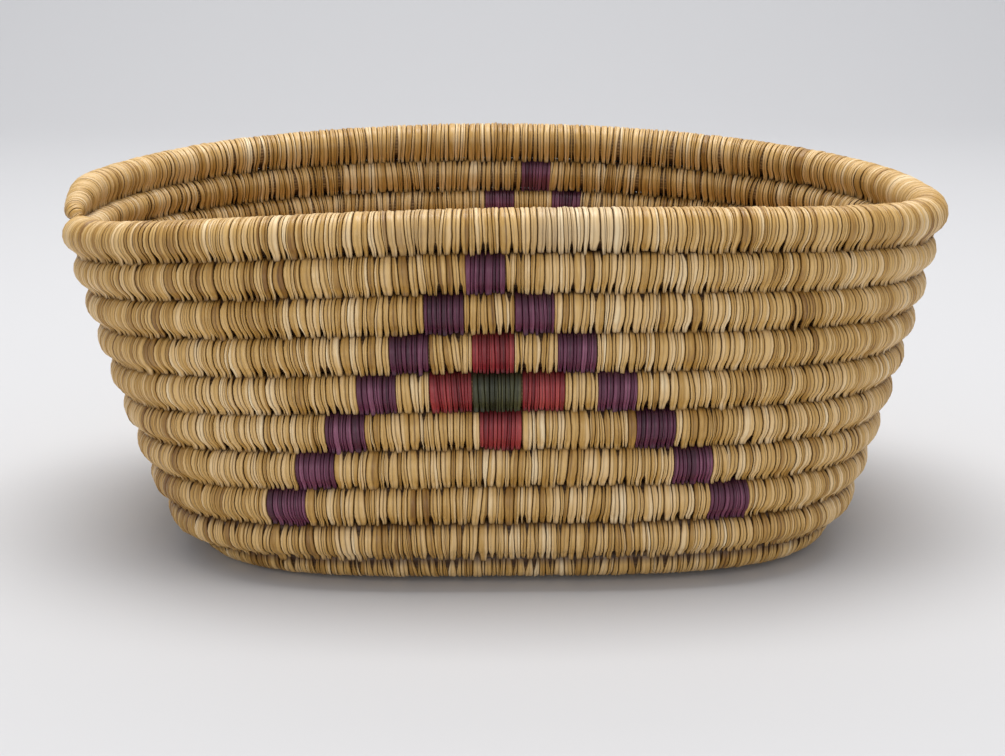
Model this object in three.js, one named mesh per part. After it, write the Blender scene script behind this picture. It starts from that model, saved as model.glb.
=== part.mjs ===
// Coiled grass basket: an oval, open-topped holder made of one long grass bundle.
// The bundle is wound as a rising spiral from the middle of the base to the rim, and
// coloured strips wrapped over it make a stepped triangle with a cross inside.
// Units are millimetres, +Z is up, the front wall faces -Y and the long axis lies along X.
// The origin is on the surface that the basket stands on, midway between its ends and sides.

import * as THREE from 'three';

// The coil
const coilPitch = 12;            // height of wall, or width of base, that one row takes
const coilThickness = 12;        // thickness of the wall and the base
const rowGap = 0.45;             // clearance between neighbouring rows
const cutGap = 0.45;             // clearance between the end of one row and the start of the next

// Rows, counted in turns of the coil
const baseRows = 6.25;           // from the middle of the base to its edge
const wallRows = 10;             // wall rows at the middle of the front, rim included
const rowCut = 0.55;             // part of a turn at which one row ends and the next starts
const steadyFrom = 6.5;          // turns after which the coil rises at a steady rate

// The base
const seedHalfLength = 22;       // half the length of the straight start of the coil
const straightShare = 0.35;      // radians of a turn that half of a straight run takes

// The plan: a superellipse, squarer at the base than at the rim
const planPowerBase = 3.6;
const planPowerRim = 2.63;

// How far the wall leans out from the vertical, at its bottom and at the rim
const leftLeanDegrees = [22.7, 17.1];
const rightLeanDegrees = [21.0, 15.4];
const sideLeanDegrees = [4.65, -0.35];
const tuckRows = 2;              // rows over which the base curls up into the wall
const tuckPower = 1.5;           // how much of that curl comes early

// Where the upper rows lie lower than an even spiral would
const sagFrom = 12.5;            // turns after which the sag starts
const sagTurns = 3;              // turns that it takes to reach its full depth
const backSag = 0.3;             // at the middle of the back
const endSag = 1.4;              // at both ends
const finishSag = 3.4;           // more, where the coil's end is pulled down onto the row below
const finishLength = 155;        // length of coil that is pulled down
const finishSlope = 89;          // length over which it comes down

// The rim and the end of the coil, near the left end
const rimShareFront = 1.03;      // thickness of the rim at the front, as a share of a row's
const rimSwell = 0.04;           // more of it at the right, and less at the left
const backSwell = 0.1;           // more of it at the middle of the back
const backSwellPower = 4;        // how close to the middle that stays
const taperLength = 60;          // length over which the coil's end is thinned out
const taperEnd = 0.5;            // share of its thickness left before the tip
const tipLength = 6;             // rounded tip of the coil's end
const tipRings = [1, 0.67, 0.34];   // where the tip has a ring, as shares of its length
const seedTip = 0.9;             // share of its thickness where the straight start begins
const seedTipLength = 10;        // length over which it reaches its full thickness
const noseLength = 4.8;          // rounded end in front of the straight start
const noseShare = 0.55;          // share of its thickness at the tip of the nose

// The coloured stitch blocks
const strandThickness = 1.2;     // coloured strips over the bundle
const strandClearance = 0.3;     // between the strips and the bundle, and at a block's ends
const blockWidth = { purple: 11.6, red: 12.6, green: 14.6 };
const triangleStep = 13.3;       // the triangle's half width one row below its top
const triangleNarrowing = 0.9;   // power by which the lower steps get shorter
const motifLean = 1.13;          // the motif shifts this much against the winding, a row
const frontMotifX = -8.2;        // middle of the front motif in its top row, from the base's middle
const backMotifX = 13.7;         // the same on the back wall
const motifTopRow = 2;           // row of the triangle's point, counted down from the rim
const motifRows = 7;             // rows that the triangle takes
const crossRow = 5;              // row of the green block, counted down from the rim

// Facets
const ringsPerTurn = 36;
const cornerCount = 8;
const facetShare = Math.tan(Math.PI / cornerCount);   // half a facet of an octagon, as a share of its radius

// From the green block to each red one beside it
const crossStep = (blockWidth.red + blockWidth.green) / 2 + strandClearance;

const degrees = Math.PI / 180;
const fullTurn = 2 * Math.PI;
const rowCount = Math.floor(baseRows + wallRows);
const firstTurn = (Math.PI / 2 - straightShare) / fullTurn;
const lastTurn = rowCount + rowCut;
const seedTipTurns = (seedTipLength / seedHalfLength) * (straightShare / fullTurn);

const clamp = (value, low, high) => Math.min(Math.max(value, low), high);
const mix = (a, b, share) => a + (b - a) * share;
const smooth = (share) => share * share * (3 - 2 * share);

function partOfTurn(turn) {
  return fullTurn * (turn - Math.floor(turn));
}

function planPower(row) {
  const share = clamp((row - baseRows) / (wallRows - 0.5), 0, 1.1);
  return mix(planPowerBase, planPowerRim, share);
}

// Outward reach and height of the wall's middle surface above the base's edge, by summing
// the wall's lean over its rows.
function wallProfile(leanDegrees) {
  const step = 0.05;
  const count = Math.ceil((wallRows + 1.5) / step);
  const reach = [0];
  const height = [0];
  const leanAt = (above) => {
    const steady = mix(leanDegrees[0], leanDegrees[1], (above - 0.5) / (wallRows - 1)) * degrees;
    const curl = clamp(1 - above / tuckRows, 0, 1) ** tuckPower;
    return mix(steady, Math.PI / 2, curl);
  };
  for (let i = 0; i < count; i++) {
    const middle = leanAt((i + 0.5) * step);
    reach.push(reach[i] + Math.sin(middle) * step * coilPitch);
    height.push(height[i] + Math.cos(middle) * step * coilPitch);
  }
  const read = (list, above) => {
    const place = clamp(above / step, 0, count - 1e-6);
    const low = Math.floor(place);
    return mix(list[low], list[low + 1], place - low);
  };
  return {
    reach: (row) => read(reach, row - baseRows),
    height: (row) => read(height, row - baseRows),
  };
}

const leftWall = wallProfile(leftLeanDegrees);
const rightWall = wallProfile(rightLeanDegrees);
const sideWall = wallProfile(sideLeanDegrees);

// The left end leans out more than the right, so the base sits off the middle by half of that.
const rimRow = baseRows + wallRows;
const baseOffset = (leftWall.reach(rimRow) - rightWall.reach(rimRow)) / 2;

// Loop angle within a turn: 0 at the right end, a quarter turn at the middle of the back.
// The tight inner loops are a straight run with round ends. Their left ends are centred half a
// row towards the front, which is what lets a coil with straight runs spiral outwards.
function innerLoop(row, angle) {
  const onRight = Math.cos(angle) >= 0;
  const fromEnd = onRight
    ? Math.atan2(Math.sin(angle), Math.cos(angle))
    : Math.atan2(-Math.sin(angle), -Math.cos(angle));
  const round = clamp(fromEnd / (Math.PI / 2 - straightShare), -1, 1) * (Math.PI / 2);
  const run = seedHalfLength * clamp((Math.PI / 2 - Math.abs(fromEnd)) / straightShare, 0, 1);
  if (onRight) {
    const radius = coilPitch * row;
    return [run + radius * Math.cos(round), radius * Math.sin(round)];
  }
  const bend = round + Math.PI;
  const radius = coilPitch * (row + 0.5 * Math.sin(bend));
  return [-run + radius * Math.cos(bend), radius * Math.sin(bend) - coilPitch / 2];
}

// The superellipse that a row of the outer base or of the wall follows.
function outerLoop(row, angle) {
  const power = planPower(row);
  const c = Math.cos(angle);
  const s = Math.sin(angle);
  const radius = (Math.abs(c) ** power + Math.abs(s) ** power) ** (-1 / power);
  const across = c * radius;
  const along = s * radius;
  const side = Math.min(row, baseRows) * coilPitch + sideWall.reach(row);
  const endWall = c > 0 ? rightWall : leftWall;
  const end = seedHalfLength + Math.min(row, baseRows) * coilPitch + endWall.reach(row);
  const endShare = across * across;
  const height = mix(sideWall.height(row), endWall.height(row), endShare);
  return [across * end, along * side, height];
}

// Centre line of the coil at a row (turns out from the middle, not always whole) and a loop angle.
function coilPoint(row, angle) {
  const [outerX, outerY, height] = outerLoop(row, angle);
  const share = smooth(clamp((row - 1) / (baseRows - 1), 0, 1));
  const [innerX, innerY] = share < 1 ? innerLoop(row, angle) : [outerX, outerY];
  return new THREE.Vector3(
    mix(innerX, outerX, share) + baseOffset,
    mix(innerY, outerY, share),
    coilThickness / 2 + height,
  );
}

// Row of the coil after a number of turns. The inner turns keep their row along the back, the
// right end and the front, and step out by one row round the left end. The outer turns rise evenly.
function rowAt(turn) {
  const whole = Math.floor(turn);
  const angle = partOfTurn(turn);
  const leftStart = Math.PI / 2 + straightShare;
  const leftShare = clamp((angle - leftStart) / (Math.PI - 2 * straightShare), 0, 1);
  const stepped = whole + 0.5 * (1 - Math.cos(Math.PI * leftShare));
  const power = planPower(turn);
  const c = Math.cos(angle);
  const s = Math.sin(angle);
  const even = Math.atan2(Math.sign(s) * Math.abs(s) ** (power / 2), Math.sign(c) * Math.abs(c) ** (power / 2));
  const steady = whole + (even < 0 ? even + fullTurn : even) / fullTurn;
  const share = smooth(clamp((turn - 1) / (steadyFrom - 1), 0, 1));
  return mix(stepped, steady, share) - sagAt(turn) / coilPitch;
}

// How far the coil lies below an even spiral.
function sagAt(turn) {
  const angle = partOfTurn(turn);
  const upper = smooth(clamp((turn - sagFrom) / sagTurns, 0, 1));
  const round = (backSag * (1 + Math.sin(angle))) / 2 + endSag * Math.cos(angle) ** 2;
  const pulled = smooth(clamp((finishLength - lengthToTip(turn)) / finishSlope, 0, 1));
  return upper * round + finishSag * pulled;
}

function turnLength(turn) {
  const steps = 72;
  let length = 0;
  for (let i = 0; i < steps; i++) {
    const from = coilPoint(turn, (i / steps) * fullTurn);
    length += from.distanceTo(coilPoint(turn, ((i + 1) / steps) * fullTurn));
  }
  return length;
}

const rimLength = turnLength(lastTurn - 0.5);

function lengthToTip(turn) {
  return (lastTurn - turn) * rimLength;
}

// Share of its full thickness that the coil has in the last turn and at its very start.
function rimShare(turn) {
  const angle = partOfTurn(turn);
  const back = backSwell * Math.max(Math.sin(angle), 0) ** backSwellPower;
  const swell = rimShareFront + rimSwell * Math.cos(angle) + back;
  const taper = mix(taperEnd, 1, smooth(clamp(lengthToTip(turn) / taperLength, 0, 1)));
  const tip = Math.sqrt(1 - clamp(1 - lengthToTip(turn) / tipLength, 0, 1) ** 2);
  return swell * taper * tip;
}

function startShare(turn) {
  return mix(seedTip, 1, smooth(clamp((turn - firstTurn) / seedTipTurns, 0, 1)));
}

function lowEdge(turn) {
  if (turn < 1) return rowAt(turn) - 0.5;
  return (rowAt(turn - 1) + rowAt(turn)) / 2;
}

function highEdge(turn) {
  if (turn > lastTurn - 1) return lowEdge(turn) + rimShare(turn);
  return (rowAt(turn) + rowAt(turn + 1)) / 2;
}

function middleRow(turn) {
  return (lowEdge(turn) + highEdge(turn)) / 2;
}

// A point on the wall's middle surface, with the way to the next row and the way out of the wall.
function surfaceAt(row, angle, along) {
  const nearRow = 0.05;
  const across = coilPoint(row + nearRow, angle).sub(coilPoint(row - nearRow, angle)).normalize();
  const outward = new THREE.Vector3().crossVectors(along, across);
  const square = outward.length();
  return { point: coilPoint(row, angle), across, outward: outward.normalize(), square };
}

// The coil's cross-section between its two edges. All rows have their sections in one plane at
// one angle, so the facets of neighbouring rows run side by side round the corners.
function sectionAt(turn) {
  const nearTurn = 1e-4;
  const angle = partOfTurn(turn);
  const pathPoint = (at) => coilPoint(middleRow(at), partOfTurn(at));
  const along = pathPoint(turn + nearTurn).sub(pathPoint(turn - nearTurn)).normalize();
  const low = surfaceAt(lowEdge(turn), angle, along);
  const high = surfaceAt(highEdge(turn), angle, along);
  return {
    along,
    low,
    high,
    middle: surfaceAt(middleRow(turn), angle, along),
    height: high.point.distanceTo(low.point),
    share: startShare(turn),
    depthShare: turn > lastTurn - 1 ? rimShare(turn) : 1,
  };
}

// Corners of an octagon, drawn in by `inset`, with one facet towards each neighbouring row.
// What the basket stands on is pressed flat.
function octagon(section, inset) {
  const { low, high, middle } = section;
  const depth = (coilThickness / 2) * section.depthShare - inset;
  const flat = (section.height / 2 - inset) * facetShare;
  const place = (frame, up, out) =>
    frame.point.clone().addScaledVector(frame.across, up).addScaledVector(frame.outward, out);
  const highIn = -(rowGap / 2 / high.square + inset);
  const lowIn = rowGap / 2 / low.square + inset;
  const corners = [
    place(high, highIn, depth * facetShare),
    place(middle, flat, depth),
    place(middle, -flat, depth),
    place(low, lowIn, depth * facetShare),
    place(low, lowIn, -depth * facetShare),
    place(middle, -flat, -depth),
    place(middle, flat, -depth),
    place(high, highIn, -depth * facetShare),
  ];
  const tapered = corners.map((corner) => middle.point.clone().lerp(corner, section.share));
  return tapered.map((corner) => corner.setZ(Math.max(corner.z, 0)));
}

// Triangles between two closed rings of corners, facing out when `to` lies ahead of `from`.
function addBand(index, from, to) {
  for (let i = 0; i < cornerCount; i++) {
    const next = (i + 1) % cornerCount;
    index.push(from + i, from + next, to + next);
    index.push(from + i, to + next, to + i);
  }
}

function closedSolid(points, index) {
  const geometry = new THREE.BufferGeometry();
  const flat = points.flatMap((point) => [point.x, point.y, point.z]);
  geometry.setAttribute('position', new THREE.Float32BufferAttribute(flat, 3));
  geometry.setIndex(index);
  geometry.computeVertexNormals();
  return geometry;
}

// A stretch of coil through the given rings, closed at both ends.
function coilGeometry(rings) {
  const points = rings.flatMap((ring) => octagon(sectionAt(ring.turn), ring.inset));
  if (rings[0].turn === firstTurn) {
    const start = sectionAt(firstTurn);
    const tip = start.middle.point.clone().addScaledVector(start.along, -noseLength);
    const nose = octagon(start, 0).map((corner) => corner.sub(start.middle.point));
    points.unshift(...nose.map((corner) => corner.multiplyScalar(noseShare).add(tip)));
  }
  const ringCount = points.length / cornerCount;
  const index = [];
  for (let i = 0; i + 1 < ringCount; i++) addBand(index, i * cornerCount, (i + 1) * cornerCount);
  const last = points.length - cornerCount;
  for (let i = 1; i + 1 < cornerCount; i++) {
    index.push(0, i + 1, i);
    index.push(last, last + i, last + i + 1);
  }
  return closedSolid(points, index);
}

// A sleeve of coloured strips round the bundle, open at both ends for the bundle to pass.
function sleeveGeometry(fromTurn, toTurn) {
  const start = sectionAt(fromTurn);
  const end = sectionAt(toTurn);
  const rings = [octagon(start, 0), octagon(end, 0), octagon(end, strandThickness), octagon(start, strandThickness)];
  const index = [];
  for (let i = 0; i < rings.length; i++) {
    addBand(index, i * cornerCount, ((i + 1) % rings.length) * cornerCount);
  }
  return closedSolid(rings.flat(), index);
}

// Turn at which a wall row passes a given x, from the base's middle, on the front or back wall.
function turnAtX(quarterTurn, x) {
  const whole = Math.floor(quarterTurn);
  const [end] = outerLoop(quarterTurn, x > 0 ? 0 : Math.PI);
  const across = x / Math.abs(end);
  const power = planPower(quarterTurn);
  const along = (1 - Math.abs(across) ** power) ** (1 / power);
  const isFront = quarterTurn - whole > 0.5;
  const angle = Math.atan2(isFront ? -along : along, across);
  return whole + (angle < 0 ? angle + fullTurn : angle) / fullTurn;
}

// Blocks of one row of the motif, placed along the wall from the motif's middle line.
function motifRow(rowFromRim) {
  const step = rowFromRim - motifTopRow;
  const reach = triangleStep * step ** triangleNarrowing;
  const blocks = [];
  if (step === 0) blocks.push({ colour: 'purple', side: '', at: 0 });
  if (step > 0) blocks.push({ colour: 'purple', side: '_left', at: -reach });
  if (step > 0) blocks.push({ colour: 'purple', side: '_right', at: reach });
  if (Math.abs(rowFromRim - crossRow) === 1) blocks.push({ colour: 'red', side: '', at: 0 });
  if (rowFromRim === crossRow) {
    blocks.push({ colour: 'red', side: '_left', at: -crossStep });
    blocks.push({ colour: 'green', side: '', at: 0 });
    blocks.push({ colour: 'red', side: '_right', at: crossStep });
  }
  return blocks;
}

// All blocks of the front or the back motif, each with the turns where it starts and ends.
function motifBlocks(wall) {
  const direction = wall === 'front' ? 1 : -1;
  const topX = wall === 'front' ? frontMotifX : backMotifX;
  const rimQuarter = wall === 'front' ? rowCount - 0.25 : rowCount + 0.25;
  const blocks = [];
  for (let row = motifTopRow; row < motifTopRow + motifRows; row++) {
    const quarterTurn = rimQuarter - (row - 1);
    const middle = topX + direction * motifLean * (row - motifTopRow);
    for (const block of motifRow(row)) {
      const x = middle + direction * block.at;
      const half = (direction * blockWidth[block.colour]) / 2;
      blocks.push({
        name: `${wall}_${block.colour}_${wallRows - row + 1}${block.side}`,
        colour: block.colour,
        from: turnAtX(quarterTurn, x - half),
        to: turnAtX(quarterTurn, x + half),
      });
    }
  }
  return blocks;
}

// Stretches of a row that coloured blocks cover. Blocks side by side share one stretch.
function coveredStretches(blocks, clearTurns) {
  const stretches = [];
  for (const block of [...blocks].sort((a, b) => a.from - b.from)) {
    const last = stretches.at(-1);
    const from = block.from - clearTurns;
    const to = block.to + clearTurns;
    if (last && from < last.to + clearTurns) last.to = to;
    else stretches.push({ from, to });
  }
  return stretches;
}

// Rings of one row: even steps, the two ends, and a narrower stretch under coloured blocks.
function rowRings(fromTurn, toTurn, blocks) {
  const halfCut = (turn) => cutGap / 2 / turnLength(turn);
  const start = fromTurn === firstTurn ? fromTurn : fromTurn + halfCut(fromTurn);
  const end = toTurn - halfCut(toTurn);
  const clearTurns = strandClearance / turnLength(fromTurn);
  const inRow = blocks.filter((block) => block.from > start && block.to < end);
  const stretches = coveredStretches(inRow, clearTurns);
  const nearRing = 0.2 / ringsPerTurn;
  const rings = [{ turn: start, inset: 0 }];
  const addSteps = (from, to) => {
    for (let i = Math.ceil((from + nearRing) * ringsPerTurn); i < (to - nearRing) * ringsPerTurn; i++) {
      rings.push({ turn: i / ringsPerTurn, inset: 0 });
    }
  };
  const bundleInset = strandThickness + strandClearance;
  let reached = start;
  for (const stretch of stretches) {
    addSteps(reached, stretch.from);
    rings.push({ turn: stretch.from, inset: 0 }, { turn: stretch.from, inset: bundleInset });
    rings.push({ turn: stretch.to, inset: bundleInset }, { turn: stretch.to, inset: 0 });
    reached = stretch.to;
  }
  const tips = toTurn === lastTurn ? tipRings.map((share) => lastTurn - (share * tipLength) / rimLength) : [];
  addSteps(reached, tips.length > 0 ? tips[0] : end);
  for (const turn of [...tips, end]) rings.push({ turn, inset: 0 });
  return rings;
}

// Least clearance between a row and the next, measured on points of their facing facets.
function leastRowGap() {
  let least = Infinity;
  for (let turn = firstTurn; turn + 1 < lastTurn; turn += 0.5 / ringsPerTurn) {
    const lower = sectionAt(turn);
    const upper = sectionAt(turn + 1);
    const top = octagon(lower, 0)[0];
    const bottom = octagon(upper, 0)[3];
    const between = bottom.sub(top);
    const alongRow = between.dot(lower.along);
    least = Math.min(least, between.addScaledVector(lower.along, -alongRow).length());
  }
  return least;
}

const finish = (color, roughness) => new THREE.MeshStandardMaterial({ color, roughness, metalness: 0, flatShading: true });
const materials = {
  natural: finish(0xc2a070, 0.62),
  purple: finish(0x5e3a5c, 0.66),
  red: finish(0xa3393c, 0.66),
  green: finish(0x3b4024, 0.68),
};

const basket = new THREE.Group();
basket.name = 'grass_basket';

function addPiece(name, geometry, material) {
  const piece = new THREE.Mesh(geometry, material);
  piece.name = name;
  basket.add(piece);
}

const blocks = [...motifBlocks('front'), ...motifBlocks('back')];
const baseCoils = Math.floor(baseRows) - 1;

function rowName(number) {
  if (number === 0) return 'base_centre';
  if (number <= baseCoils) return `base_coil_${number}`;
  if (number < rowCount - 1) return `wall_row_${number - baseCoils}`;
  return 'rim_coil';
}

for (let number = 0; number < rowCount; number++) {
  const from = number === 0 ? firstTurn : number + rowCut;
  const to = number + 1 + rowCut;
  addPiece(rowName(number), coilGeometry(rowRings(from, to, blocks)), materials.natural);
}
for (const block of blocks) {
  addPiece(block.name, sleeveGeometry(block.from, block.to), materials[block.colour]);
}
console.log(`least gap between rows of coil: ${leastRowGap().toFixed(2)} mm`);

export default basket;
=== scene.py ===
# Coiled grass basket: the looks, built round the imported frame.
# The coil is rebuilt as a fibre bundle with single grass strips wrapped round it, row by row.
# Lengths are millimetres until a mesh is made, and metres in Blender.

import math

import bpy
import numpy as np
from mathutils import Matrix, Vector


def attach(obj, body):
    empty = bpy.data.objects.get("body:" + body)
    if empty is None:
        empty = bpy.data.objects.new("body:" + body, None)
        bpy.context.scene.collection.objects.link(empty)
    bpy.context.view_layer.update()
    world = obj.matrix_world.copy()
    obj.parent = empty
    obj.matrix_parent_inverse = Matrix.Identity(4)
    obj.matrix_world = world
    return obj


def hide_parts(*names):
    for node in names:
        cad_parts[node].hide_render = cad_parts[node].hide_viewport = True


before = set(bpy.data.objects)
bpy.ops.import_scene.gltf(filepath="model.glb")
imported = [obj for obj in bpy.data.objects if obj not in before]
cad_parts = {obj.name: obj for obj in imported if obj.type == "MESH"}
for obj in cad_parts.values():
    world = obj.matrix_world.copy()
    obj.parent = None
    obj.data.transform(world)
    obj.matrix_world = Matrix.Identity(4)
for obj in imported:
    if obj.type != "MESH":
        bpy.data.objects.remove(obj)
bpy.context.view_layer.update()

MM = 0.001
FULL_TURN = 2 * math.pi

# The coil, as in the frame
COIL_PITCH = 12.0
COIL_THICKNESS = 12.0
BASE_ROWS = 6.25
WALL_ROWS = 10
ROW_CUT = 0.55
STEADY_FROM = 6.5
SEED_HALF_LENGTH = 22.0
STRAIGHT_SHARE = 0.35
PLAN_POWER_BASE = 3.6
PLAN_POWER_RIM = 2.63
LEFT_LEAN_DEGREES = (22.7, 17.1)
RIGHT_LEAN_DEGREES = (21.0, 15.4)
SIDE_LEAN_DEGREES = (4.65, -0.35)
TUCK_ROWS = 2
TUCK_POWER = 1.5
SAG_FROM = 12.5
SAG_TURNS = 3
BACK_SAG = 0.3
END_SAG = 1.4
FINISH_SAG = 3.4
FINISH_LENGTH = 155.0
FINISH_SLOPE = 89.0
RIM_SHARE_FRONT = 1.03
RIM_SWELL = 0.04
BACK_SWELL = 0.1
BACK_SWELL_POWER = 4
TAPER_LENGTH = 60.0
TAPER_END = 0.5
TIP_LENGTH = 6.0

# The coloured stitch blocks, as in the frame
BLOCK_WIDTH = {"purple": 11.6, "red": 12.6, "green": 14.6}
BLOCK_GAP = 0.3
TRIANGLE_STEP = 13.3
TRIANGLE_NARROWING = 0.9
MOTIF_LEAN = 1.13
FRONT_MOTIF_X = -8.2
BACK_MOTIF_X = 13.7
MOTIF_TOP_ROW = 2
MOTIF_ROWS = 7
CROSS_ROW = 5
CROSS_STEP = (BLOCK_WIDTH["red"] + BLOCK_WIDTH["green"]) / 2 + BLOCK_GAP

# The strips
STRIP_PITCH = {"wall": 1.95, "rim": 1.9, "dyed": 1.4}
RIDGES = 2                      # grain ridges that a strip has
SHOULDER = 0.26                 # share of a ridge's width that slopes down to a groove
STRIP_DEPTH = 0.62              # from a strip's crown to its underside
TUCKED_EDGE = 0.4               # how far a strip's edges lie below its crown
DYED_EDGE = 0.3                 # the same for dyed strips, which lie tighter
DEEPEST_GROOVE = 0.38           # between a strip's ridges
WIDTH_SPREAD = 0.32             # of strips and ridges, as a share of their width
SHARED_SLANT = 0.5              # slant that neighbouring strips have in common
OWN_SLANT = 0.17                # slant of each border by itself
BORDER_BEND = 0.14
BORDER_JITTER = 0.035
LEAST_GAP = 0.04                # between two strips
PROUD = 0.2                     # how far crowns stand out of the wall's plain surface
PALE_PATCHES = ((19.5, 13.5, 0.7), (-30.0, 8.0, 0.3))    # on the front rim: middle, half width, strength

ROW_COUNT = math.floor(BASE_ROWS + WALL_ROWS)
FIRST_TURN = (math.pi / 2 - STRAIGHT_SHARE) / FULL_TURN
LAST_TURN = ROW_COUNT + ROW_CUT
BASE_COILS = math.floor(BASE_ROWS) - 1


def mix(a, b, share):
    return a + (b - a) * share


def smooth(share):
    share = np.clip(share, 0, 1)
    return share * share * (3 - 2 * share)


# The wall's surface, vectorised over arrays of rows, angles and turns


def wall_profile(lean_degrees):
    """Rows above the base's edge, and the wall's outward reach and height there."""
    step = 0.05
    above = np.arange(0, WALL_ROWS + 1.5, step) + step / 2
    steady = np.radians(mix(lean_degrees[0], lean_degrees[1], (above - 0.5) / (WALL_ROWS - 1)))
    curl = np.clip(1 - above / TUCK_ROWS, 0, 1) ** TUCK_POWER
    lean = mix(steady, math.pi / 2, curl)
    reach = np.concatenate([[0], np.cumsum(np.sin(lean))]) * step * COIL_PITCH
    height = np.concatenate([[0], np.cumsum(np.cos(lean))]) * step * COIL_PITCH
    return np.concatenate([[0], above + step / 2]), reach, height


LEFT_WALL = wall_profile(LEFT_LEAN_DEGREES)
RIGHT_WALL = wall_profile(RIGHT_LEAN_DEGREES)
SIDE_WALL = wall_profile(SIDE_LEAN_DEGREES)


def reach(wall, row):
    return np.interp(row - BASE_ROWS, wall[0], wall[1])


def height(wall, row):
    return np.interp(row - BASE_ROWS, wall[0], wall[2])


BASE_OFFSET = (reach(LEFT_WALL, BASE_ROWS + WALL_ROWS) - reach(RIGHT_WALL, BASE_ROWS + WALL_ROWS)) / 2


def plan_power(row):
    share = np.clip((row - BASE_ROWS) / (WALL_ROWS - 0.5), 0, 1.1)
    return mix(PLAN_POWER_BASE, PLAN_POWER_RIM, share)


def inner_loop(row, angle):
    """A straight run with round ends, whose left end is centred half a row to the front."""
    on_right = np.cos(angle) >= 0
    sign = np.where(on_right, 1.0, -1.0)
    from_end = np.arctan2(sign * np.sin(angle), sign * np.cos(angle))
    bend = np.clip(from_end / (math.pi / 2 - STRAIGHT_SHARE), -1, 1) * (math.pi / 2)
    run = SEED_HALF_LENGTH * np.clip((math.pi / 2 - np.abs(from_end)) / STRAIGHT_SHARE, 0, 1)
    bend = np.where(on_right, bend, bend + math.pi)
    radius = COIL_PITCH * np.where(on_right, row, row + 0.5 * np.sin(bend))
    shift = np.where(on_right, 0.0, -COIL_PITCH / 2)
    return sign * run + radius * np.cos(bend), radius * np.sin(bend) + shift


def outer_loop(row, angle):
    """The superellipse that a row of the outer base or of the wall follows, and its height."""
    power = plan_power(row)
    c = np.cos(angle)
    s = np.sin(angle)
    radius = (np.abs(c) ** power + np.abs(s) ** power) ** (-1 / power)
    across = c * radius
    flat = np.minimum(row, BASE_ROWS) * COIL_PITCH
    side = flat + reach(SIDE_WALL, row)
    on_right = c > 0
    end = SEED_HALF_LENGTH + flat + np.where(on_right, reach(RIGHT_WALL, row), reach(LEFT_WALL, row))
    end_height = np.where(on_right, height(RIGHT_WALL, row), height(LEFT_WALL, row))
    rise = mix(height(SIDE_WALL, row), end_height, across**2)
    return across * end, s * radius * side, rise


def coil_point(row, angle):
    row, angle = np.broadcast_arrays(np.asarray(row, float), np.asarray(angle, float))
    outer_x, outer_y, rise = outer_loop(row, angle)
    inner_x, inner_y = inner_loop(row, angle)
    share = smooth((row - 1) / (BASE_ROWS - 1))
    x = mix(inner_x, outer_x, share) + BASE_OFFSET
    y = mix(inner_y, outer_y, share)
    return np.stack([x, y, COIL_THICKNESS / 2 + rise], axis=-1)


def part_of_turn(turn):
    return FULL_TURN * (turn - np.floor(turn))


def row_at(turn):
    """Row of the coil after a number of turns: stepped in the inner turns, even in the outer ones."""
    whole = np.floor(turn)
    angle = part_of_turn(turn)
    left_start = math.pi / 2 + STRAIGHT_SHARE
    left_share = np.clip((angle - left_start) / (math.pi - 2 * STRAIGHT_SHARE), 0, 1)
    stepped = whole + 0.5 * (1 - np.cos(math.pi * left_share))
    power = plan_power(turn) / 2
    c = np.cos(angle)
    s = np.sin(angle)
    even = np.arctan2(np.sign(s) * np.abs(s) ** power, np.sign(c) * np.abs(c) ** power) % FULL_TURN
    steady = whole + even / FULL_TURN
    return mix(stepped, steady, smooth((turn - 1) / (STEADY_FROM - 1))) - sag_at(turn) / COIL_PITCH


def length_to_tip(turn):
    return (LAST_TURN - turn) * RIM_LENGTH


def sag_at(turn):
    """How far the coil lies below an even spiral."""
    angle = part_of_turn(turn)
    upper = smooth((turn - SAG_FROM) / SAG_TURNS)
    round_part = BACK_SAG * (1 + np.sin(angle)) / 2 + END_SAG * np.cos(angle) ** 2
    pulled = smooth((FINISH_LENGTH - length_to_tip(turn)) / FINISH_SLOPE)
    return upper * round_part + FINISH_SAG * pulled


def turn_length(turn):
    angles = np.linspace(0, FULL_TURN, 73)
    points = coil_point(turn, angles)
    return np.linalg.norm(np.diff(points, axis=0), axis=1).sum()


RIM_LENGTH = turn_length(LAST_TURN - 0.5)


def rim_share(turn):
    angle = part_of_turn(turn)
    back = BACK_SWELL * np.maximum(np.sin(angle), 0) ** BACK_SWELL_POWER
    swell = RIM_SHARE_FRONT + RIM_SWELL * np.cos(angle) + back
    taper = mix(TAPER_END, 1, smooth(length_to_tip(turn) / TAPER_LENGTH))
    tip = np.sqrt(1 - np.clip(1 - length_to_tip(turn) / TIP_LENGTH, 0, 0.99) ** 2)
    return swell * taper * tip


def low_edge(turn):
    return np.where(turn < 1, row_at(turn) - 0.5, (row_at(turn - 1) + row_at(turn)) / 2)


def high_edge(turn):
    in_rim = turn > LAST_TURN - 1
    return np.where(in_rim, low_edge(turn) + rim_share(turn), (row_at(turn) + row_at(turn + 1)) / 2)


def unit(vectors):
    return vectors / np.linalg.norm(vectors, axis=-1, keepdims=True)


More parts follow.
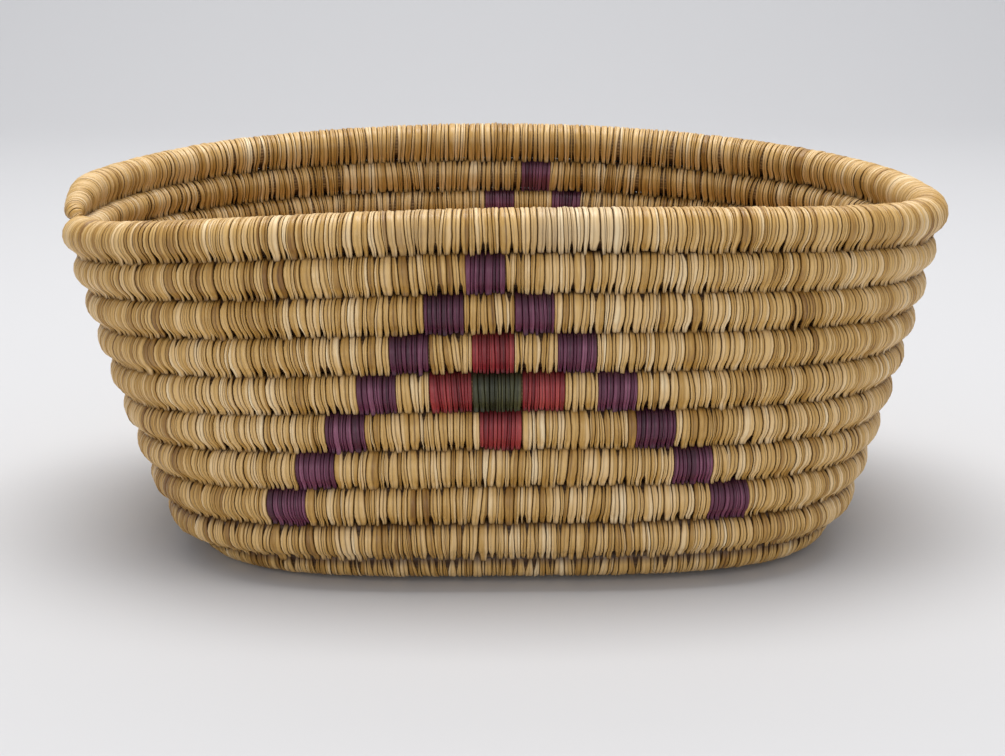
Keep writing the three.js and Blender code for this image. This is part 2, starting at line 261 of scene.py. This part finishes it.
class Coil:
    """Dense samples of the coil's centre, directions and cross-section, read by turn."""

    def __init__(self, samples_per_turn=360):
        count = int((LAST_TURN - FIRST_TURN) * samples_per_turn)
        turn = np.linspace(FIRST_TURN, LAST_TURN - 1e-6, count)
        angle = part_of_turn(turn)
        low = low_edge(turn)
        high = high_edge(turn)
        centre = coil_point((low + high) / 2, angle)
        along = unit(np.gradient(centre, axis=0))
        near_row = 0.05
        middle = (low + high) / 2
        across = coil_point(middle + near_row, angle) - coil_point(middle - near_row, angle)
        across -= along * (across * along).sum(axis=1, keepdims=True)
        across = unit(across)
        outward = unit(np.cross(along, across))
        spacing = coil_point(high, angle) - coil_point(low, angle)
        half_height = np.abs((spacing * across).sum(axis=1)) / 2
        depth = np.where(turn > LAST_TURN - 1, rim_share(turn), 1.0)
        length = np.concatenate([[0], np.cumsum(np.linalg.norm(np.diff(centre, axis=0), axis=1))])
        self.turn = turn
        self.length = length
        half_depth = COIL_THICKNESS / 2 * depth
        self.table = np.column_stack([centre, across, outward, half_height, half_depth])

    def length_at(self, turn):
        return np.interp(turn, self.turn, self.length)

    def read(self, length):
        """Centre, across, outward, half height and half depth at distances along the coil."""
        columns = [np.interp(length, self.length, column) for column in self.table.T]
        centre, across, outward = (np.stack(columns[first:first + 3], axis=-1) for first in (0, 3, 6))
        return centre, across, outward, columns[9], columns[10]


coil = Coil()


def turn_at_x(quarter_turn, x):
    """Turn at which a wall row passes x, from the base's middle, on the front or back wall."""
    whole = math.floor(quarter_turn)
    end = abs(outer_loop(np.float64(quarter_turn), 0.0 if x > 0 else math.pi)[0])
    across = x / end
    power = plan_power(quarter_turn)
    along = (1 - abs(across) ** power) ** (1 / power)
    is_front = quarter_turn - whole > 0.5
    angle = math.atan2(-along if is_front else along, across)
    return whole + (angle % FULL_TURN) / FULL_TURN


def motif_row(row_from_rim):
    step = row_from_rim - MOTIF_TOP_ROW
    reach_out = TRIANGLE_STEP * step**TRIANGLE_NARROWING
    blocks = []
    if step == 0:
        blocks.append(("purple", "", 0.0))
    else:
        blocks.append(("purple", "_left", -reach_out))
        blocks.append(("purple", "_right", reach_out))
    if abs(row_from_rim - CROSS_ROW) == 1:
        blocks.append(("red", "", 0.0))
    if row_from_rim == CROSS_ROW:
        blocks.append(("red", "_left", -CROSS_STEP))
        blocks.append(("green", "", 0.0))
        blocks.append(("red", "_right", CROSS_STEP))
    return blocks


def motif_blocks(wall):
    """Name, colour and the turns where each block of the front or back motif starts and ends."""
    direction = 1 if wall == "front" else -1
    top_x = FRONT_MOTIF_X if wall == "front" else BACK_MOTIF_X
    rim_quarter = ROW_COUNT - 0.25 if wall == "front" else ROW_COUNT + 0.25
    blocks = []
    for row in range(MOTIF_TOP_ROW, MOTIF_TOP_ROW + MOTIF_ROWS):
        quarter_turn = rim_quarter - (row - 1)
        middle = top_x + direction * MOTIF_LEAN * (row - MOTIF_TOP_ROW)
        for colour, side, at in motif_row(row):
            x = middle + direction * at
            half = direction * BLOCK_WIDTH[colour] / 2
            name = f"{wall}_{colour}_{WALL_ROWS - row + 1}{side}"
            ends = [turn_at_x(quarter_turn, x - half), turn_at_x(quarter_turn, x + half)]
            blocks.append((name, colour, *ends))
    return blocks


# The strips

# A strip's way round the coil, on one side: degrees from the top of the row, and how far it has
# left the round section, from 0 to 1 at the tip that dives into the row below.
ROUND_ANGLES = (0, 20, 40, 60, 80, 100, 120)
DIVE_ANGLES = (135, 145, 152, 158)
DIVE_SHARES = (0.0, 0.32, 0.68, 1.0)
HALF_ANGLES = np.array(ROUND_ANGLES + DIVE_ANGLES, float)
HALF_LEAVES = np.array((0.0,) * len(ROUND_ANGLES) + DIVE_SHARES)
PATH_ANGLES = np.concatenate([-HALF_ANGLES[:0:-1], HALF_ANGLES])
PATH_POINTS = len(PATH_ANGLES)
LOBE_FROM = 132                 # degrees from where a strip's foot is rounded off
TIP_DROP = 1.0                  # how far a strip's tip reaches past the row's edge
TIP_OUT = 0.52                  # share of the half depth at which the tip goes in


def half_path(rng, half_height, half_depth):
    """Local height and outward place of each path point, for one side of every strip."""
    count = len(half_height)
    angle = np.radians(HALF_ANGLES)
    leave = smooth(HALF_LEAVES)
    drop = TIP_DROP + rng.normal(0, 0.35, count)
    out_share = TIP_OUT + rng.normal(0, 0.04, count)
    up = half_height[:, None] * np.cos(angle)
    out = (half_depth + PROUD)[:, None] * np.sin(angle)
    tip_up = -(half_height + drop * half_height / (COIL_PITCH / 2))[:, None]
    tip_out = (half_depth * out_share)[:, None]
    return mix(up, tip_up, leave), mix(out, tip_out, leave)


def strip_paths(rng, half_height, half_depth):
    """Points from the inside tip over the top to the outside tip, as (strips, points) arrays."""
    inside_up, inside_out = half_path(rng, half_height, half_depth)
    outside_up, outside_out = half_path(rng, half_height, half_depth)
    up = np.concatenate([inside_up[:, :0:-1], outside_up], axis=1)
    out = np.concatenate([-inside_out[:, :0:-1], outside_out], axis=1)
    return up, out


def path_normals(up, out):
    """Unit normals of the paths, pointing away from the bundle, in the plane of its section."""
    d_up = np.gradient(up, axis=1)
    d_out = np.gradient(out, axis=1)
    size = np.hypot(d_up, d_out)
    return d_out / size, -d_up / size


class Profiles:
    """Random cross-sections of strips: ridges and grooves from one edge to the other."""

    def __init__(self, rng, count, tucked_edge):
        ridge_widths = rng.normal(1, WIDTH_SPREAD, (count, RIDGES)).clip(0.35, 1.9)
        cuts = np.concatenate([np.zeros((count, 1)), np.cumsum(ridge_widths, axis=1)], axis=1)
        cuts = cuts / cuts[:, -1:] * 2 - 1
        groove = 0.07 + 0.31 * rng.uniform(0, 1, (count, RIDGES - 1)) ** 1.2
        lift = rng.normal(0, 0.05, (count, RIDGES))
        tone = rng.uniform(0, 1, (count, RIDGES))
        edge = np.full(count, tucked_edge)
        place = [cuts[:, 0]]
        depth = [edge]
        # dark: painted shade, with some dirt: full at the tucked edges, partial in the grooves, none on the
        # ridges
        dark = [edge / TUCKED_EDGE]
        fibre = [tone[:, 0]]
        for i in range(RIDGES):
            width = cuts[:, i + 1] - cuts[:, i]
            for share in (SHOULDER, 1 - SHOULDER):
                place.append(cuts[:, i] + share * width)
                depth.append(lift[:, i])
                dark.append(np.zeros(count))
                fibre.append(tone[:, i])
            if i < RIDGES - 1:
                place.append(cuts[:, i + 1])
                depth.append(groove[:, i])
                dark.append(0.3 + 0.7 * groove[:, i] / DEEPEST_GROOVE)
                fibre.append((tone[:, i] + tone[:, i + 1]) / 2)
        place.append(cuts[:, -1])
        depth.append(edge)
        dark.append(edge / TUCKED_EDGE)
        fibre.append(tone[:, -1])
        self.place = np.stack(place, axis=1)
        self.depth = np.stack(depth, axis=1) + 0.14 * self.place**4
        # The underside is fully dark: painted shade.
        under = np.ones((count, 2))
        self.dark = np.concatenate([np.stack(dark, axis=1), under], axis=1)
        self.fibre = np.concatenate([np.stack(fibre, axis=1), under * 0.5], axis=1)


def border_lines(rng, borders, kind):
    """Middle line and gap of each border between strips, at each path point."""
    count = len(borders)
    angle = np.abs(PATH_ANGLES)[None, :]
    inside = (PATH_ANGLES < 0)[None, :]
    wave = np.convolve(rng.normal(0, 1, count + 8), np.ones(9) / 3, mode="valid")[:, None]
    slant = (SHARED_SLANT * wave + rng.normal(0, OWN_SLANT, (count, 1))) * np.radians(PATH_ANGLES)[None, :] / 2
    bend = BORDER_BEND * np.sin(rng.uniform(0, FULL_TURN, (count, 1)) + np.radians(PATH_ANGLES)[None, :] * 1.6)
    jitter = rng.normal(0, BORDER_JITTER, (count, PATH_POINTS))
    middle = slant + bend + jitter
    middle[[0, -1]] *= 0.2

    top_v = 0.08 + 1.5 * rng.uniform(0, 1, (count, 1)) ** 4
    low_v = rng.uniform(0, 1, (count, 1)) ** 6 * 1.2
    inner = rng.uniform(0, 1, (count, 1)) ** 5 * 1.5
    if kind == "rim":
        top_v = 0.04
    if kind == "dyed":
        middle *= 0.5
        top_v = top_v * 0.12
        low_v = low_v * 0.2
        inner = inner * 0.15
    at_top = smooth((62 - angle) / 40)
    at_foot = smooth((angle - 112) / 34)
    gap = LEAST_GAP + top_v * at_top + low_v * at_foot * ~inside
    gap = gap + inside * inner * smooth((angle - 15) / 95)
    gap[[0, -1]] = np.minimum(gap[[0, -1]], 0.3)
    return borders[:, None] + middle, gap


def strip_field(rng, start, end, kind):
    """Vertices of the strips between two distances along the coil, and their profiles."""
    is_dyed = kind == "dyed"
    count = max(1, round((end - start) / STRIP_PITCH[kind]))
    widths = rng.normal(1, WIDTH_SPREAD, count).clip(0.5, 1.8)
    borders = start + np.concatenate([[0], np.cumsum(widths)]) / widths.sum() * (end - start)
    middle, gap = border_lines(rng, borders, kind)
    left = middle[:-1] + gap[:-1] / 2
    right = middle[1:] - gap[1:] / 2

    to_tip = np.clip((np.abs(PATH_ANGLES) - LOBE_FROM) / (HALF_ANGLES[-1] - LOBE_FROM), 0, 1)
    lobe = np.sqrt(1 - (0.5 if is_dyed else 0.58) * to_tip**2)
    half_width = np.maximum(right - left, 0.5) / 2 * lobe
    centre = (right + left) / 2
    _, _, _, half_height, half_depth = coil.read((borders[1:] + borders[:-1]) / 2)
    up, out = strip_paths(rng, half_height, half_depth)

    profiles = Profiles(rng, count, DYED_EDGE if is_dyed else TUCKED_EDGE)
    tilt = rng.normal(0, 0.05 if is_dyed else 0.11, (count, 1, 1))
    proud = rng.normal(0, 0.07, (count, 1, 1))
    along = centre[:, :, None] + half_width[:, :, None] * profiles.place[:, None, :]
    sink = profiles.depth[:, None, :] + tilt * profiles.place[:, None, :] - proud
    under_along = centre[:, :, None] + half_width[:, :, None] * np.array([0.9, -0.9])
    under_sink = np.broadcast_to(STRIP_DEPTH + np.abs(tilt), (count, PATH_POINTS, 2))
    along = np.concatenate([along, under_along], axis=2)
    sink = np.concatenate([np.broadcast_to(sink, along[:, :, :-2].shape), under_sink], axis=2)
    size = (half_depth / (COIL_THICKNESS / 2))[:, None, None]
    sink = sink * size

    normal_up, normal_out = path_normals(up, out)
    origin, across, outward, height_there, depth_there = coil.read(along)
    local_up = (up[:, :, None] - normal_up[:, :, None] * sink) * height_there / half_height[:, None, None]
    local_out = (out[:, :, None] - normal_out[:, :, None] * sink) * depth_there / half_depth[:, None, None]
    vertices = origin + across * local_up[..., None] + outward * local_out[..., None]
    vertices[..., 2] = np.maximum(vertices[..., 2], 0)
    return vertices, profiles


def pale_share(vertices):
    """How bleached each strip of the rim is: it has paler patches on the front."""
    x = vertices[..., 0].mean(axis=(1, 2)) - BASE_OFFSET
    y = vertices[..., 1].mean(axis=(1, 2))
    share = np.zeros(len(x))
    for middle, half_width, strength in PALE_PATCHES:
        share += strength * smooth((half_width + 3 - np.abs(x - middle)) / 6)
    return share * (y < 0)


def strip_mesh(rng, name, stretches, kind):
    """One mesh of all the strips of a row or block, with its colour values and bake coordinates."""
    fields = [strip_field(rng, start, end, kind) for start, end in stretches]
    vertices = np.concatenate([field[0] for field in fields])
    dark = np.concatenate([field[1].dark for field in fields])
    fibre = np.concatenate([field[1].fibre for field in fields])
    count = len(vertices)
    shape = vertices.shape[:3]

    index = np.arange(vertices[..., 0].size).reshape(shape)
    nearer = index[:, :-1, :]
    further = index[:, 1:, :]
    faces = np.stack([nearer, further, np.roll(further, -1, axis=2), np.roll(nearer, -1, axis=2)], axis=-1)
    caps = np.concatenate([index[:, 0, :], index[:, -1, ::-1]])

    mesh = bpy.data.meshes.new(name)
    build_mesh(mesh, vertices.reshape(-1, 3) * MM, faces.reshape(-1, 4), caps)

    angle = np.abs(PATH_ANGLES)
    # Painted shade, with some dirt: darker at the tips, where each strip dives into the row below.
    painted_shade = smooth((angle - 146) / 12)
    # Painted shade, with some dirt: darker at the top of each wall row, under the row above.
    if kind == "wall":
        painted_shade = np.maximum(painted_shade, 1 - smooth((angle - 24) / 20))
    # Painted shade: dyed strips darker over their upper half, from how the light falls on them.
    if kind == "dyed":
        painted_shade = np.maximum(painted_shade, 1 - smooth((angle - 20) / 70))
    add_attribute(mesh, "tone", np.broadcast_to(rng.uniform(0, 1, (count, 1, 1)), shape))
    add_attribute(mesh, "fibre", np.broadcast_to(fibre[:, None, :], shape))
    # groove: painted shade, with some dirt, in the grooves, at the strips' edges and underneath
    add_attribute(mesh, "groove", np.broadcast_to(dark[:, None, :], shape))
    add_attribute(mesh, "painted_shade", np.broadcast_to(painted_shade[None, :, None], shape))
    pale = pale_share(vertices) if kind == "rim" else np.zeros(count)
    add_attribute(mesh, "pale", np.broadcast_to(pale[:, None, None], shape))
    add_strip_coordinates(mesh, count, shape[2])
    return mesh


def build_mesh(mesh, vertices, quads, caps=None):
    cap_count = 0 if caps is None else len(caps)
    cap_size = 0 if caps is None else caps.shape[1]
    loops = quads.reshape(-1) if caps is None else np.concatenate([quads.reshape(-1), caps.reshape(-1)])
    starts = np.concatenate([np.arange(len(quads)) * 4, len(quads) * 4 + np.arange(cap_count) * cap_size])
    sizes = np.concatenate([np.full(len(quads), 4), np.full(cap_count, cap_size)])
    mesh.vertices.add(len(vertices))
    mesh.vertices.foreach_set("co", vertices.astype(np.float32).reshape(-1))
    mesh.loops.add(len(loops))
    mesh.loops.foreach_set("vertex_index", loops.astype(np.int32))
    mesh.polygons.add(len(starts))
    mesh.polygons.foreach_set("loop_start", starts.astype(np.int32))
    mesh.polygons.foreach_set("loop_total", sizes.astype(np.int32))
    mesh.update(calc_edges=True)
    mesh.validate()
    mesh.shade_smooth()


def add_attribute(mesh, name, values):
    layer = mesh.attributes.new(name, "FLOAT", "POINT")
    layer.data.foreach_set("value", np.ascontiguousarray(values, dtype=np.float32).reshape(-1))


def add_strip_coordinates(mesh, count, ring_points):
    """Bake coordinates, one cell of a grid for each strip, and the grain's coordinates in mm."""
    columns = max(1, math.ceil(math.sqrt(count * 6)))
    rows = math.ceil(count / columns)
    vertex = np.empty(len(mesh.loops), dtype=np.int32)
    mesh.loops.foreach_get("vertex_index", vertex)
    strip = vertex // (PATH_POINTS * ring_points)
    along = (vertex // ring_points) % PATH_POINTS
    across = vertex % ring_points
    u = 0.06 + 0.88 * across / ring_points
    v = 0.03 + 0.94 * along / (PATH_POINTS - 1)
    place = np.stack([(strip % columns + u) / columns, (strip // columns + v) / rows], axis=1)
    layer = mesh.uv_layers.new(name="OFBake")
    layer.data.foreach_set("uv", place.astype(np.float32).reshape(-1))
    grain = np.stack([strip * 7.13 + across * 0.24, strip * 3.77 + along * 1.35], axis=1)
    layer = mesh.uv_layers.new(name="grain")
    layer.data.foreach_set("uv", grain.astype(np.float32).reshape(-1))


# Materials


def new_material(name):
    material = bpy.data.materials.new(name)
    material.use_nodes = True
    nodes = material.node_tree.nodes
    return material, nodes, material.node_tree.links, nodes["Principled BSDF"]


def value_node(nodes, links, operation, a, b):
    node = nodes.new("ShaderNodeMath")
    node.operation = operation
    for socket, value in zip(node.inputs, (a, b)):
        if isinstance(value, (int, float)):
            socket.default_value = value
        else:
            links.new(value, socket)
    return node.outputs[0]


def attribute_node(nodes, name):
    node = nodes.new("ShaderNodeAttribute")
    node.attribute_name = name
    return node.outputs["Fac"]


def ramp_node(nodes, links, factor, stops):
    node = nodes.new("ShaderNodeValToRGB")
    ramp = node.color_ramp
    while len(ramp.elements) < len(stops):
        ramp.elements.new(0.5)
    for element, (place, colour) in zip(ramp.elements, stops):
        element.position = place
        element.color = (*colour, 1)
    links.new(factor, node.inputs["Fac"])
    return node.outputs["Color"]


def noise_node(nodes, links, vector, scale, detail=3.0, roughness=0.55):
    node = nodes.new("ShaderNodeTexNoise")
    node.inputs["Scale"].default_value = scale
    node.inputs["Detail"].default_value = detail
    node.inputs["Roughness"].default_value = roughness
    links.new(vector, node.inputs["Vector"])
    return node.outputs["Fac"]


def stretched(nodes, links, vector, scale):
    node = nodes.new("ShaderNodeMapping")
    node.inputs["Scale"].default_value = scale
    links.new(vector, node.inputs["Vector"])
    return node.outputs["Vector"]


def mix_colour(nodes, links, blend, factor, a, b):
    node = nodes.new("ShaderNodeMix")
    node.data_type = "RGBA"
    node.blend_type = blend
    if isinstance(factor, (int, float)):
        node.inputs[0].default_value = factor
    else:
        links.new(factor, node.inputs[0])
    for socket, value in ((node.inputs[6], a), (node.inputs[7], b)):
        if isinstance(value, tuple):
            socket.default_value = (*value, 1)
        else:
            links.new(value, socket)
    return node.outputs[2]


def grass_material(name, tones, dark, spread, roughness):
    """Dry split grass: strip by strip tone, fine grain along the strip, and painted shade: dark grooves,
    edges, tips and row tops (with some dirt), and darker upper halves on dyed strips.
    """
    material, nodes, links, shader = new_material(name)
    coordinates = nodes.new("ShaderNodeUVMap")
    coordinates.uv_map = "grain"
    grain = coordinates.outputs["UV"]
    broad = noise_node(nodes, links, stretched(nodes, links, grain, (1.6, 0.12, 1)), 1.0, 2.0)
    fine = noise_node(nodes, links, stretched(nodes, links, grain, (6.0, 0.16, 1)), 1.0, 4.0, 0.7)
    object_place = nodes.new("ShaderNodeTexCoord").outputs["Object"]
    patches = noise_node(nodes, links, object_place, 24, 2.0)

    total = weighted_sum(nodes, links, 0.5, [
        (attribute_node(nodes, "tone"), 0.45 * spread),
        (attribute_node(nodes, "fibre"), 0.5 * spread),
        (patches, 0.9 * spread),
        (broad, 0.8 * spread),
        (fine, 0.7 * spread),
    ])
    colour = ramp_node(nodes, links, total, tones)
    pale = value_node(nodes, links, "MULTIPLY", attribute_node(nodes, "pale"), 0.55)
    colour = mix_colour(nodes, links, "MIX", pale, colour, BLEACHED)
    # Painted shade, with some dirt: grooves, strip edges and undersides mixed towards the dark colour
    groove = value_node(nodes, links, "POWER", attribute_node(nodes, "groove"), 1.3)
    groove = value_node(nodes, links, "MULTIPLY", groove, 0.95)
    colour = mix_colour(nodes, links, "MIX", groove, colour, dark)
    # Painted shade: tips, row tops and the upper half of dyed strips mixed towards the dark colour
    painted_shade = value_node(nodes, links, "MULTIPLY", attribute_node(nodes, "painted_shade"), 0.8)
    colour = mix_colour(nodes, links, "MIX", painted_shade, colour, dark)
    links.new(colour, shader.inputs["Base Color"])

    rough = nodes.new("ShaderNodeMapRange")
    rough.inputs["To Min"].default_value = roughness - 0.08
    rough.inputs["To Max"].default_value = roughness + 0.14
    links.new(fine, rough.inputs["Value"])
    links.new(rough.outputs["Result"], shader.inputs["Roughness"])
    bump = nodes.new("ShaderNodeBump")
    bump.inputs["Strength"].default_value = 0.5
    bump.inputs["Distance"].default_value = 0.0002
    links.new(fine, bump.inputs["Height"])
    links.new(bump.outputs["Normal"], shader.inputs["Normal"])
    return material


def weighted_sum(nodes, links, middle, parts):
    """`middle` plus each factor's departure from one half, times its weight."""
    total = middle - sum(weight for _, weight in parts) / 2
    for factor, weight in parts:
        node = nodes.new("ShaderNodeMath")
        node.operation = "MULTIPLY_ADD"
        links.new(factor, node.inputs[0])
        node.inputs[1].default_value = weight
        if isinstance(total, float):
            node.inputs[2].default_value = total
        else:
            links.new(total, node.inputs[2])
        total = node.outputs[0]
    return total


def bundle_material():
    """The dry stalks inside the coil, seen only between strips."""
    material, nodes, links, shader = new_material("foundation_stalks")
    # Painted highlight on the stalk crowns, and painted shade in the grooves between stalks and toward the
    # rows, in one value.
    stalk_sheen_and_shade = attribute_node(nodes, "stalk_sheen_and_shade")
    stops = ((0.1, (0.05, 0.02, 0.005)), (0.5, (0.3, 0.17, 0.06)), (1.0, (0.5, 0.34, 0.16)))
    colour = ramp_node(nodes, links, stalk_sheen_and_shade, stops)
    links.new(colour, shader.inputs["Base Color"])
    shader.inputs["Roughness"].default_value = 0.55
    return material


STRAW = (
    (0.0, (0.24, 0.11, 0.018)),
    (0.3, (0.5, 0.28, 0.065)),
    (0.5, (0.67, 0.42, 0.14)),
    (0.72, (0.79, 0.54, 0.25)),
    (1.0, (0.92, 0.74, 0.46)),
)
BLEACHED = (0.8, 0.66, 0.44)
PURPLE = ((0.0, (0.05, 0.008, 0.022)), (0.5, (0.13, 0.024, 0.06)), (1.0, (0.3, 0.1, 0.17)))
RED = ((0.0, (0.12, 0.007, 0.01)), (0.5, (0.28, 0.017, 0.022)), (1.0, (0.44, 0.06, 0.055)))
GREEN = ((0.0, (0.01, 0.01, 0.003)), (0.5, (0.032, 0.034, 0.01)), (1.0, (0.1, 0.095, 0.032)))

# The third value of each is the dark colour that the painted shade of grooves, edges, tips and row tops mixes
# towards.
materials = {
    "natural": grass_material("straw_grass", STRAW, (0.08, 0.027, 0.005), 0.85, 0.33),
    "purple": grass_material("purple_dyed_grass", PURPLE, (0.022, 0.005, 0.012), 1.0, 0.34),
    "red": grass_material("red_dyed_grass", RED, (0.06, 0.005, 0.006), 1.0, 0.34),
    "green": grass_material("green_dyed_grass", GREEN, (0.008, 0.008, 0.003), 1.0, 0.34),
}


def add_piece(name, mesh, material):
    piece = bpy.data.objects.new(name, mesh)
    bpy.context.scene.collection.objects.link(piece)
    mesh.materials.append(material)
    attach(piece, "root")
    return piece


# Rows of strips


def row_name(number):
    if number == 0:
        return "base_centre"
    if number <= BASE_COILS:
        return f"base_coil_{number}"
    if number < ROW_COUNT - 1:
        return f"wall_row_{number - BASE_COILS}"
    return "rim_coil"


def natural_stretches(start_turn, end_turn, blocks):
    """Distances along the coil that a row's natural strips cover, between its coloured blocks."""
    stretches = []
    reached = coil.length_at(start_turn)
    for _, _, block_start, block_end in sorted(blocks, key=lambda block: block[2]):
        block_from = coil.length_at(block_start)
        if block_from - reached > STRIP_PITCH["wall"] / 2:
            stretches.append((reached, block_from))
        reached = coil.length_at(block_end)
    stretches.append((reached, coil.length_at(end_turn)))
    return stretches


def make_rows():
    blocks = motif_blocks("front") + motif_blocks("back")
    for number in range(ROW_COUNT):
        start = FIRST_TURN if number == 0 else number + ROW_CUT
        end = number + 1 + ROW_CUT
        in_row = [block for block in blocks if start < block[2] and block[3] < end]
        rng = np.random.default_rng(100 + number)
        name = row_name(number)
        kind = "rim" if number == ROW_COUNT - 1 else "wall"
        mesh = strip_mesh(rng, name + "_strips", natural_stretches(start, end, in_row), kind)
        piece = add_piece(name + "_strips", mesh, materials["natural"])
        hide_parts(name)
    for number, (name, colour, start, end) in enumerate(blocks):
        rng = np.random.default_rng(500 + number)
        stretch = (coil.length_at(start), coil.length_at(end))
        mesh = strip_mesh(rng, name + "_strips", [stretch], "dyed")
        piece = add_piece(name + "_strips", mesh, materials[colour])
        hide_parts(name)


# The bundle

STALKS = 26
STALK_GROOVE = 0.3              # depth of the grooves between the bundle's outer stalks
BUNDLE_STEP = 6.0               # along the coil


def make_bundle():
    """The foundation bundle, one ribbed tube from the start of the coil to its end."""
    rng = np.random.default_rng(7)
    sides = STALKS * 2
    total = coil.length[-1]
    length = np.linspace(0.2, total - 1.5, int(total / BUNDLE_STEP))
    origin, across, outward, half_height, half_depth = coil.read(length)
    angle = np.linspace(0, FULL_TURN, sides, endpoint=False)
    in_rim = length[:, None] > coil.length_at(LAST_TURN - 1)
    toward_row = np.where(in_rim, np.maximum(-np.cos(angle), 0), np.abs(np.cos(angle)))
    inset = mix(STRIP_DEPTH + 0.12, 0.05, smooth((toward_row - 0.86) / 0.1))
    is_ridge = np.arange(sides) % 2 == 0
    groove = np.where(is_ridge, 0.0, STALK_GROOVE) + rng.normal(0, 0.05, (len(length), sides))
    groove = groove * (half_height / (COIL_PITCH / 2))[:, None]
    # Painted shade: the stalks darker toward the rows above and below.
    shade = 1 - 0.85 * smooth((toward_row - 0.55) / 0.3)
    up = np.maximum(half_height[:, None] - inset - groove, 0.1) * np.cos(angle)
    out = np.maximum(half_depth[:, None] - inset - groove, 0.1) * np.sin(angle)
    vertices = origin[:, None, :] + across[:, None, :] * up[..., None] + outward[:, None, :] * out[..., None]
    vertices[..., 2] = np.maximum(vertices[..., 2], 0.1)
    index = np.arange(len(length) * sides).reshape(len(length), sides)
    nearer = index[:-1]
    further = index[1:]
    quads = np.stack([nearer, np.roll(nearer, -1, axis=1), np.roll(further, -1, axis=1), further], axis=-1)
    mesh = bpy.data.meshes.new("foundation_bundle")
    caps = np.stack([index[0, ::-1], index[-1]])
    build_mesh(mesh, vertices.reshape(-1, 3) * MM, quads.reshape(-1, 4), caps)
    # shine: painted highlight on the stalk crowns, varying from stalk to stalk; 0.25 in the grooves between
    # stalks is painted shade
    shine = rng.uniform(0.4, 0.85, (len(length), sides))
    add_attribute(mesh, "stalk_sheen_and_shade", np.where(is_ridge, shine, 0.25) * shade)
    add_piece("foundation_bundle", mesh, bundle_material())


make_rows()
make_bundle()


# Floor, light and camera


def studio():
    width = 6.0
    depth_back = 2.2
    wall_height = 3.0
    bend = 0.9
    profile = [(-3.0, 0.0), (depth_back - bend, 0.0)]
    for i in range(1, 17):
        turn = math.pi / 2 * i / 16
        profile.append((depth_back - bend + bend * math.sin(turn), bend - bend * math.cos(turn)))
    profile.append((depth_back, wall_height))
    vertices = [(x, y, z) for y, z in profile for x in (-width / 2, width / 2)]
    faces = [(2 * i, 2 * i + 1, 2 * i + 3, 2 * i + 2) for i in range(len(profile) - 1)]
    mesh = bpy.data.meshes.new("backdrop")
    mesh.from_pydata(vertices, [], faces)
    mesh.shade_smooth()
    backdrop = bpy.data.objects.new("backdrop", mesh)
    bpy.context.scene.collection.objects.link(backdrop)
    material, _, _, shader = new_material("pale_backdrop")
    shader.inputs["Base Color"].default_value = (0.615, 0.615, 0.625, 1)
    shader.inputs["Roughness"].default_value = 0.9
    mesh.materials.append(material)


def add_area_light(name, place, target, size, power, colour):
    data = bpy.data.lights.new(name, "AREA")
    data.shape = "RECTANGLE"
    data.size, data.size_y = size
    data.energy = power
    data.color = colour
    light = bpy.data.objects.new(name, data)
    light.location = place
    direction = np.array(target) - np.array(place)
    light.rotation_euler = to_euler(direction)
    bpy.context.scene.collection.objects.link(light)


def to_euler(direction):
    return Vector(direction).to_track_quat("-Z", "Y").to_euler()


def lights():
    add_area_light("overhead", (0.0, 0.1, 1.5), (0, 0, 0), (1.1, 0.8), 19, (1.0, 0.985, 0.96))
    add_area_light("back_sweep", (0.0, 1.35, 1.35), (0, 1.0, 0), (2.4, 0.8), 8.5, (1.0, 0.99, 0.98))
    add_area_light("front_fill", (-0.2, -1.5, 0.32), (0, 0, 0.0), (1.8, 0.6), 4.5, (1.0, 0.99, 0.98))
    world = bpy.data.worlds.new("soft_room")
    world.use_nodes = True
    background = world.node_tree.nodes["Background"]
    background.inputs["Color"].default_value = (0.86, 0.88, 0.93, 1)
    background.inputs["Strength"].default_value = 0.6
    bpy.context.scene.world = world


# The photographed view: a lens of 62 mm on a 36 mm frame, from 0.6 m in front and 0.19 m up
FOCAL_PIXELS = 1726.7
PICTURE_WIDTH = 1005
SENSOR_WIDTH = 36.0
CAMERA_DISTANCE = 593.7
CAMERA_HEIGHT = 192.5
CAMERA_SIDE = -1.3
CAMERA_PITCH = 0.2431
BASKET_YAW = 0.0201


def camera():
    c, s = math.cos(BASKET_YAW), math.sin(BASKET_YAW)
    x = c * CAMERA_SIDE - s * CAMERA_DISTANCE + BASE_OFFSET
    y = -s * CAMERA_SIDE - c * CAMERA_DISTANCE
    data = bpy.data.cameras.new("photo_camera")
    data.sensor_width = SENSOR_WIDTH
    data.lens = FOCAL_PIXELS / PICTURE_WIDTH * SENSOR_WIDTH
    data.clip_start = 0.01
    data.clip_end = 20
    view = bpy.data.objects.new("photo_camera", data)
    view.location = (x * MM, y * MM, CAMERA_HEIGHT * MM)
    view.rotation_euler = (math.pi / 2 - CAMERA_PITCH, 0, -BASKET_YAW)
    bpy.context.scene.collection.objects.link(view)
    bpy.context.scene.camera = view


studio()
lights()
camera()
bpy.context.scene.view_settings.view_transform = "Standard"
